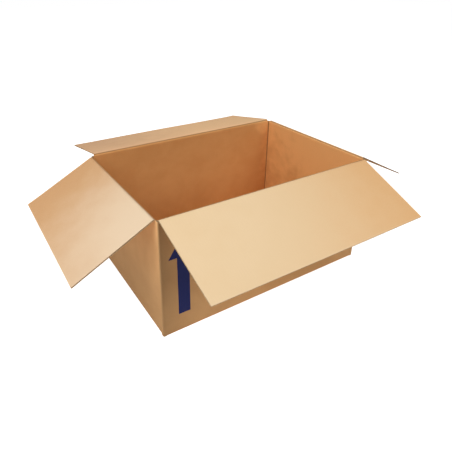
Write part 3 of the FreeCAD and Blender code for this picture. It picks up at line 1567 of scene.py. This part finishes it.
@dataclass(frozen=True)
class KraftPaper:
    """Kraft liner: long fibres, flecks, a faint washboard over the flutes and rubbed edges.

    A paper with a far colour turns to it with the distance from its near corner, as painted light
    and shade. Its creases take painted shade.
    """

    name: str
    colour: Colour
    deep: Colour
    rubbed: Colour
    # Colour of the painted shade laid along creases
    creased: Colour = (0.33, 0.165, 0.065)
    # Painted light and shade: the colour that the paper turns to with the distance from its near
    # corner, and over which distances
    far: Colour | None = None
    near_corner: tuple[float, float, float] = (-0.3, -0.2, 0.3)
    fade_span: tuple[float, float] = (0.08, 0.62)
    fade_unevenness: float = 0.25
    cloud_span: tuple[float, float] = (0.34, 0.66)
    fibre_noise: Noise = Noise(1.1, 4.0, (0.35, 1.4, 1.0), 0.35)
    hair_noise: Noise = Noise(1.6, 3.0, (1.3, 0.3, 1.0), -0.5)
    cloud_noise: Noise = Noise(0.022, 3.0)
    patch_noise: Noise = Noise(0.006, 2.0)
    fleck_noise: Noise = Noise(0.85, 1.0)
    fibre_mark: Mark = Mark(0.5, 0.78, 0.55)
    hair_mark: Mark = Mark(0.56, 0.8, 0.45)
    fleck_mark: Mark = Mark(0.7, 0.8, 0.5)
    flute_mark: Mark = Mark(0.3, 0.75, 0.5)
    crease_mark: Mark = Mark(0.1, 0.9, 0.85)
    flute_shade: float = 0.16
    fibre_tint: float = 1.07
    hair_tint: float = 0.86
    rub_span: tuple[float, float] = (0.25, 1.0)
    rub_clouds: tuple[float, float] = (0.8, 0.1)
    rub_strength: float = 0.6
    tone_strength: float = 0.34
    relief_shares: tuple[float, float, float, float] = (0.14, 0.10, 0.5, 0.42)
    roughness: tuple[float, float] = (0.16, 0.76)
    surface: Surface = Surface(0.6 * MM, 0.55, 0.22)

    def make(self) -> bpy.types.Material:
        """Builds the paper's material.

        Returns:
            The material.
        """
        material, graph = new_material(self.name)
        grain = self.grain(graph)
        colour = self.tint(graph, grain)
        rough = graph.math("MULTIPLY_ADD", grain.fibres, *self.roughness)
        self.surface.make(graph, colour, rough, self.relief(graph, grain))
        return material

    def grain(self, graph: NodeGraph) -> PaperGrain:
        """Reads the paper's noises, and the washboard that the flutes press into it.

        The washboard is a cosine across the flutes, which comes and goes with the clouds.

        Args:
            graph: the material's graph.

        Returns:
            The grain.
        """
        place = graph.blank_mm()
        clouds = self.cloud_noise.read(graph, place)
        pressed = self.flute_mark.cover(graph, clouds)
        return PaperGrain(
            place=place,
            fibres=self.fibre_noise.read(graph, place),
            hairs=self.hair_noise.read(graph, place),
            clouds=clouds,
            patches=self.patch_noise.read(graph, place),
            washboard=graph.math("MULTIPLY", graph.flutes(place), pressed),
        )

    def ground(self, graph: NodeGraph, grain: PaperGrain) -> bpy.types.NodeSocket:
        """The paper's colour before any marks: slow clouds, and the painted light and shade that
        turns it to the far colour.

        Args:
            graph: the material's graph.
            grain: the paper's grain.

        Returns:
            The colour.
        """
        clouds = graph.math("MULTIPLY", grain.clouds, 0.5)
        slow = graph.math("MULTIPLY_ADD", grain.patches, 0.5, clouds)
        ground = graph.mix(graph.band(slow, *self.cloud_span), rgba(self.deep), rgba(self.colour))
        if not self.far:
            return ground
        # Painted light and shade: the colour turns to the far colour with the distance from the near
        # corner
        on_box = graph.add("ShaderNodeTexCoord").outputs["Object"]
        ends = {0: on_box, 1: self.near_corner}
        away = graph.add("ShaderNodeVectorMath", ends, operation="DISTANCE").outputs["Value"]
        swing = graph.math("SUBTRACT", slow, 0.5)
        uneven = graph.math("MULTIPLY_ADD", swing, self.fade_unevenness, away)
        return graph.mix(graph.band(uneven, *self.fade_span), ground, rgba(self.far))

    def tint(self, graph: NodeGraph, grain: PaperGrain) -> bpy.types.NodeSocket:
        """The paper's colour: ground, fibres, flecks, flutes, rubbed edges, painted light and shade
        on the walls, and painted shade in the creases.

        Args:
            graph: the material's graph.
            grain: the paper's grain.

        Returns:
            The colour.
        """
        light, dark = shaded(self.colour, self.fibre_tint), shaded(self.deep, self.hair_tint)
        flecks = self.fleck_noise.read(graph, grain.place)
        colour = self.ground(graph, grain)
        colour = self.fibre_mark.lay(graph, grain.fibres, colour, light)
        colour = self.hair_mark.lay(graph, grain.hairs, colour, dark)
        colour = self.fleck_mark.lay(graph, flecks, colour, dark)
        flutes = graph.math("MULTIPLY", grain.washboard, self.flute_shade)
        colour = graph.mix(flutes, colour, rgba(dark))
        patchy = graph.math("MULTIPLY_ADD", grain.clouds, *self.rub_clouds)
        rub = graph.math("MULTIPLY", graph.band(graph.value("wear"), *self.rub_span), patchy)
        rub = graph.math("MULTIPLY", rub, self.rub_strength)
        colour = graph.mix(rub, colour, rgba(self.rubbed))
        # Painted light and shade on the outer walls
        level = graph.math("MULTIPLY_ADD", graph.value("tone"), self.tone_strength, 1.0)
        colour = graph.mix(1.0, colour, level, "MULTIPLY")
        # Painted shade along the creases
        return self.crease_mark.lay(graph, graph.value("crease"), colour, self.creased)

    def relief(self, graph: NodeGraph, grain: PaperGrain) -> bpy.types.NodeSocket:
        """The paper's relief: shares of its fibres, hairs, clouds and washboard, added up.

        Args:
            graph: the material's graph.
            grain: the paper's grain.

        Returns:
            Its height.
        """
        parts = (grain.fibres, grain.hairs, grain.clouds, grain.washboard)
        height = 0.0
        for part, share in zip(parts, self.relief_shares):
            height = graph.math("MULTIPLY_ADD", part, share, height)
        return height


@dataclass(frozen=True)
class CutEdge:
    """Raw cut edge of a board drawn as one solid: two liners with the wavy medium between them, and
    painted shade in the open flutes between.

    Across the edge, the middle is 0.5 and the faces are 0 and 1.
    """

    name: str
    paper: Colour
    hollow: Colour
    middle: float = 0.5
    swing: float = 0.36
    medium_span: tuple[float, float] = (0.14, 0.07)
    liner_span: tuple[float, float] = (0.37, 0.42)
    grain_noise: Noise = Noise(900.0, 3.0)
    grain_tint: float = 0.8
    roughness: float = 0.9
    surface: Surface = Surface(0.8 * MM, 0.8, 0.15)

    def make(self) -> bpy.types.Material:
        """Builds the edge's material from its place along and through the board.

        The medium's middle is a sine along the edge.

        Returns:
            The material.
        """
        material, graph = new_material(self.name)
        flat = graph.blank()
        along, through = graph.add("ShaderNodeSeparateXYZ", {0: flat}).outputs[:2]
        sine = graph.math("SINE", graph.math("MULTIPLY", along, 2.0 * math.pi / Board.flute_pitch))
        centre = graph.math("MULTIPLY_ADD", sine, self.swing, self.middle)
        medium = graph.band(graph.off_middle(through, centre), *self.medium_span)
        liner = graph.band(graph.off_middle(through, self.middle), *self.liner_span)
        solid = graph.math("MAXIMUM", medium, liner)
        grain = self.grain_noise.read(graph, flat)
        paper = graph.mix(grain, rgba(self.paper), rgba(shaded(self.paper, self.grain_tint)))
        # The open flutes between the liners and the medium are painted in their shade colour
        colour = graph.mix(solid, rgba(self.hollow), paper)
        self.surface.make(graph, colour, self.roughness, solid)
        return material


@dataclass(frozen=True)
class PrintInk:
    """Flexographic ink on kraft: dark, matt, thinner in streaks between the flutes."""

    name: str
    colour: Colour
    thin: Colour
    speckle_noise: Noise = Noise(1.4, 4.0)
    cloud_noise: Noise = Noise(0.05, 2.0)
    speckle_mark: Mark = Mark(0.48, 0.74, 0.6)
    streak_strength: float = 0.3
    roughness: tuple[float, float] = (0.2, 0.5)
    surface: Surface = Surface(0.2 * MM, 0.4, 0.15)

    def make(self) -> bpy.types.Material:
        """Builds the ink's material.

        Returns:
            The material.
        """
        material, graph = new_material(self.name)
        place = graph.blank_mm()
        speckle = self.speckle_noise.read(graph, place)
        clouds = self.cloud_noise.read(graph, place)
        streaks = graph.math("MULTIPLY", graph.flutes(place), clouds)
        speckled = self.speckle_mark.cover(graph, speckle)
        thin = graph.math("MULTIPLY_ADD", streaks, self.streak_strength, speckled)
        colour = graph.mix(thin, rgba(self.colour), rgba(self.thin))
        rough = graph.math("MULTIPLY_ADD", speckle, *self.roughness)
        self.surface.make(graph, colour, rough, speckle)
        return material


@dataclass(frozen=True)
class Lamp:
    """A soft square lamp that faces the box, its sizes in metres and its power in watts."""

    name: str
    place: tuple[float, float, float]
    size: float
    watts: float
    aim: tuple[float, float, float] = (0.0, 0.0, 0.2)

    def make(self) -> None:
        """Hangs the lamp."""
        data = bpy.data.lights.new(self.name, "AREA")
        data.shape = "SQUARE"
        data.size = self.size
        data.energy = self.watts
        lamp = bpy.data.objects.new(self.name, data)
        place = Vector(self.place)
        aim = (Vector(self.aim) - place).to_track_quat("-Z", "Y").to_matrix().to_4x4()
        lamp.matrix_world = Matrix.Translation(place) @ aim
        bpy.context.scene.collection.objects.link(lamp)


@dataclass(frozen=True)
class Studio:
    """Pale floor, soft light and the camera at the photograph's angle."""

    azimuth: float = -31.865
    elevation: float = 25.317
    roll: float = 0.036
    distance: float = 1.340822
    target: tuple[float, float, float] = (0.043429, 0.164976, 0.150)
    focal_pixels: float = 432.771
    centre_pixels: tuple[float, float] = (208.519, 181.989)
    sensor_mm: float = 36.0
    sight: float = 50.0
    floor_reach: float = 12.0
    floor_grey: float = 0.88
    floor_glow: float = 0.9
    world_light: float = 0.13
    lamps: tuple[Lamp, ...] = (
        Lamp("key", (-1.45, -0.35, 1.8), 1.7, 28.8),
        Lamp("front", (0.6, -1.9, 1.5), 1.2, 21.0),
        Lamp("top", (0.0, 0.1, 2.4), 1.6, 8.0),
        Lamp("low", (-1.9, 0.25, 0.35), 0.8, 4.5),
    )

    def make_camera(self) -> None:
        """Adds the camera: its principal point is moved by a small shift, as the crop needs."""
        data = bpy.data.cameras.new("camera")
        data.sensor_width = self.sensor_mm
        data.lens = self.focal_pixels * self.sensor_mm / IMAGE_SIZE
        data.shift_x = (IMAGE_SIZE / 2.0 - self.centre_pixels[0]) / IMAGE_SIZE
        data.shift_y = (self.centre_pixels[1] - IMAGE_SIZE / 2.0) / IMAGE_SIZE
        data.clip_end = self.sight
        camera = bpy.data.objects.new("camera", data)
        a, e = math.radians(self.azimuth), math.radians(self.elevation)
        back = Vector((math.sin(a) * math.cos(e), -math.cos(a) * math.cos(e), math.sin(e)))
        aim = (-back).to_track_quat("-Z", "Y").to_matrix().to_4x4()
        spin = Matrix.Rotation(math.radians(self.roll), 4, "Z")
        place = Vector(self.target) + back * self.distance
        camera.matrix_world = Matrix.Translation(place) @ aim @ spin
        bpy.context.scene.collection.objects.link(camera)
        bpy.context.scene.camera = camera

    def make_floor(self) -> None:
        """Adds a pale floor that looks white and still takes the object's shadow."""
        mesh = bpy.data.meshes.new("floor")
        ends = (-self.floor_reach, self.floor_reach)
        corners = [(x, y, 0.0) for x in ends for y in ends]
        mesh.from_pydata(corners, [], [(0, 2, 3, 1)])
        material, graph = new_material("floor_paper")
        matt = graph.add("ShaderNodeBsdfDiffuse", {"Color": grey(self.floor_grey)})
        strength = graph.math("MULTIPLY", graph.seen(), self.floor_glow)
        glow = graph.add("ShaderNodeEmission", {"Color": grey(1.0), "Strength": strength})
        both = graph.add("ShaderNodeAddShader", {0: matt.outputs[0], 1: glow.outputs[0]})
        graph.add("ShaderNodeOutputMaterial", {"Surface": both.outputs[0]})
        mesh.materials.append(material)
        floor = bpy.data.objects.new("floor", mesh)
        bpy.context.scene.collection.objects.link(floor)

    def make_world(self) -> None:
        """White where the camera sees it, and an even soft light for everything else."""
        world = bpy.data.worlds.new("studio")
        world.use_nodes = True
        graph = NodeGraph(world.node_tree)
        soft, white = [
            graph.add("ShaderNodeBackground", {"Color": grey(1.0), "Strength": strength})
            for strength in (self.world_light, 1.0)
        ]
        shares = {0: graph.seen(), 1: soft.outputs[0], 2: white.outputs[0]}
        both = graph.add("ShaderNodeMixShader", shares)
        graph.add("ShaderNodeOutputWorld", {"Surface": both.outputs[0]})
        bpy.context.scene.world = world

    def make(self) -> None:
        """Adds everything round the object."""
        self.make_camera()
        self.make_floor()
        self.make_world()
        for lamp in self.lamps:
            lamp.make()
        bpy.context.scene.view_settings.view_transform = "Standard"


class Finish(Enum):
    """The object's finishes, from its outer paper to the ink."""

    OUTER = KraftPaper(
        name="kraft_outer",
        colour=(0.62, 0.355, 0.155),
        deep=(0.56, 0.31, 0.13),
        rubbed=(0.46, 0.27, 0.13),
    )
    # The inner liner inside the box: deeper than the flaps' copies of the same liner, as painted
    # shade, and painted paler far from the back left corner, towards the right wall, as painted
    # light
    INNER = KraftPaper(
        name="kraft_inner",
        colour=(0.69, 0.345, 0.123),
        deep=(0.63, 0.30, 0.10),
        rubbed=(0.69, 0.38, 0.16),
        far=(0.88, 0.462, 0.172),
        near_corner=(-0.3, 0.2, 0.1),
        fade_span=(0.56, 0.66),
    )
    # The front and left flaps' copies of the inner liner are paler, as painted light, and turn
    # darker and more orange away from the front left corner, as the painted falloff of that light
    FRONT_FLAP = KraftPaper(
        name="kraft_front_flap",
        colour=(0.82, 0.61, 0.37),
        deep=(0.80, 0.585, 0.345),
        rubbed=(0.83, 0.63, 0.40),
        far=(0.75, 0.42, 0.178),
        fade_span=(0.18, 0.72),
    )
    LEFT_FLAP = KraftPaper(
        name="kraft_left_flap",
        colour=(0.80, 0.62, 0.43),
        deep=(0.78, 0.595, 0.405),
        rubbed=(0.82, 0.64, 0.44),
        far=(0.61, 0.335, 0.150),
        fade_span=(0.03, 0.40),
    )
    # The back flap's copy, which the right flap shares, is darker, as painted shade, and paler away
    # from its left end, as painted light
    BACK_FLAP = KraftPaper(
        name="kraft_back_flap",
        colour=(0.73, 0.45, 0.255),
        deep=(0.71, 0.43, 0.24),
        rubbed=(0.77, 0.49, 0.28),
        far=(0.96, 0.61, 0.33),
        near_corner=(-0.3, 0.35, 0.28),
        fade_span=(0.05, 0.42),
    )
    # The medium has no washboard of its own, so its flute mark has no strength
    FLUTING = KraftPaper(
        name="fluting_paper",
        colour=(0.50, 0.32, 0.16),
        deep=(0.44, 0.27, 0.13),
        rubbed=(0.52, 0.34, 0.18),
        flute_mark=Mark(0.3, 0.75, 0.0),
    )
    CUT_EDGE = CutEdge(
        name="cut_edge",
        paper=(0.56, 0.36, 0.18),
        hollow=(0.30, 0.18, 0.085),
    )
    INK = PrintInk(
        name="print_ink",
        colour=(0.002, 0.006, 0.072),
        thin=(0.008, 0.014, 0.092),
    )


def make_flap(carton: Carton, side: Side) -> TopFlap:
    """A top flap in the shape that the photograph shows on its side.

    Args:
        carton: the box's sizes.
        side: which flap.

    Returns:
        The flap, not built yet.
    """
    if side is Side.FRONT:
        # The front flap's painted crease shade is narrower
        return TopFlap(carton, side, taper=8.5 * MM, flare=5.0 * MM, crease_shade=1.1 * MM)
    return TopFlap(carton, side)


def make_object() -> None:
    """Builds every piece of the carton."""
    carton = Carton.from_frame()
    finishes = {finish: finish.value.make() for finish in Finish}
    outer, core = finishes[Finish.OUTER], finishes[Finish.FLUTING]
    body = CartonBody(carton)
    body.make([outer, finishes[Finish.INNER], finishes[Finish.CUT_EDGE]])
    Arrow(carton, body).make(finishes[Finish.INK])
    flap_finishes = {Side.FRONT: Finish.FRONT_FLAP, Side.LEFT: Finish.LEFT_FLAP}
    for side in Side:
        paper = finishes[flap_finishes.get(side, Finish.BACK_FLAP)]
        make_flap(carton, side).make([outer, paper, core], core)
        FoldBead(carton, side).make([paper])


def main() -> None:
    """Builds the object at the model's size, and its studio."""
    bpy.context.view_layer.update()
    make_object()
    Studio().make()


if __name__ == "__main__":
    main()
